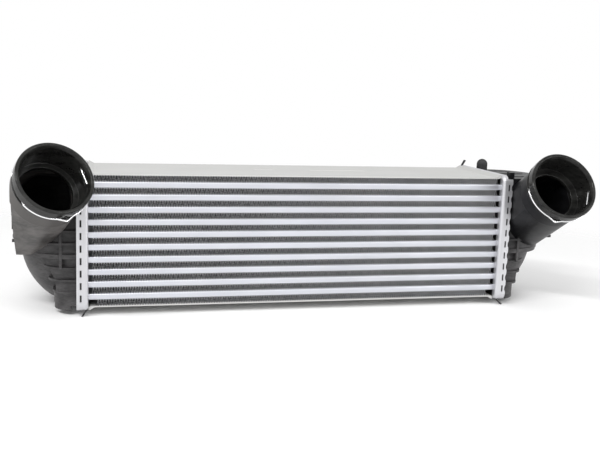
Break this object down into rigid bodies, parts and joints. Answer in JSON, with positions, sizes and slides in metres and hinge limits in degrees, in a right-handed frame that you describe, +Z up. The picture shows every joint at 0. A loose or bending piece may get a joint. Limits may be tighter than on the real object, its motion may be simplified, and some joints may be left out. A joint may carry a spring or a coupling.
{
  "type": "intercooler",
  "caption": "Air-to-air intercooler: brazed aluminium tube-and-fin core, crimped headers, moulded end tanks with angled round sockets, wire clips and rubber pegs",
  "frame": {"origin": "centre of the lower side plate's underside, midway along the core and midway through its depth", "axes": "+X along the core from the left tank to the right tank, +Y the way the cooling air flows, from the face with the sockets to the back, +Z up"},
  "size_m": [0.7036, 0.223, 0.2065],
  "materials": {
    "side_plate": "satin sheet",
    "charge_tube": "bright, drawn",
    "turbulator": "mill",
    "air_fin": "satin, shaded between the tubes",
    "header": "satin, pressed",
    "gasket": "matt",
    "tank": "moulded, faintly grained",
    "port_socket": "turned smooth",
    "spring_clip": "bright wire",
    "mounting_bush": "matt"
  },
  "bodies": {
    "root": {"bottom_side_plate": "side_plate", "top_side_plate": "side_plate", "charge_tube_01": "charge_tube", "charge_tube_02": "charge_tube", "charge_tube_03": "charge_tube", "charge_tube_04": "charge_tube", "charge_tube_05": "charge_tube", "charge_tube_06": "charge_tube", "charge_tube_07": "charge_tube", "charge_tube_08": "charge_tube", "charge_tube_09": "charge_tube", "charge_tube_10": "charge_tube", "turbulator_01": "turbulator", "turbulator_02": "turbulator", "turbulator_03": "turbulator", "turbulator_04": "turbulator", "turbulator_05": "turbulator", "turbulator_06": "turbulator", "turbulator_07": "turbulator", "turbulator_08": "turbulator", "turbulator_09": "turbulator", "turbulator_10": "turbulator", "air_fin_01": "air_fin", "air_fin_02": "air_fin", "air_fin_03": "air_fin", "air_fin_04": "air_fin", "air_fin_05": "air_fin", "air_fin_06": "air_fin", "air_fin_07": "air_fin", "air_fin_08": "air_fin", "air_fin_09": "air_fin", "air_fin_10": "air_fin", "air_fin_11": "air_fin", "left_header": "header", "left_gasket": "gasket", "left_tank": "tank", "left_spout": "tank", "left_port_socket": "port_socket", "left_spring_clip": "spring_clip", "left_mounting_bush": "mounting_bush", "right_header": "header", "right_gasket": "gasket", "right_tank": "tank", "right_spout": "tank", "right_port_socket": "port_socket", "right_spring_clip": "spring_clip", "right_mounting_bush": "mounting_bush"}
  },
  "joints": []
}
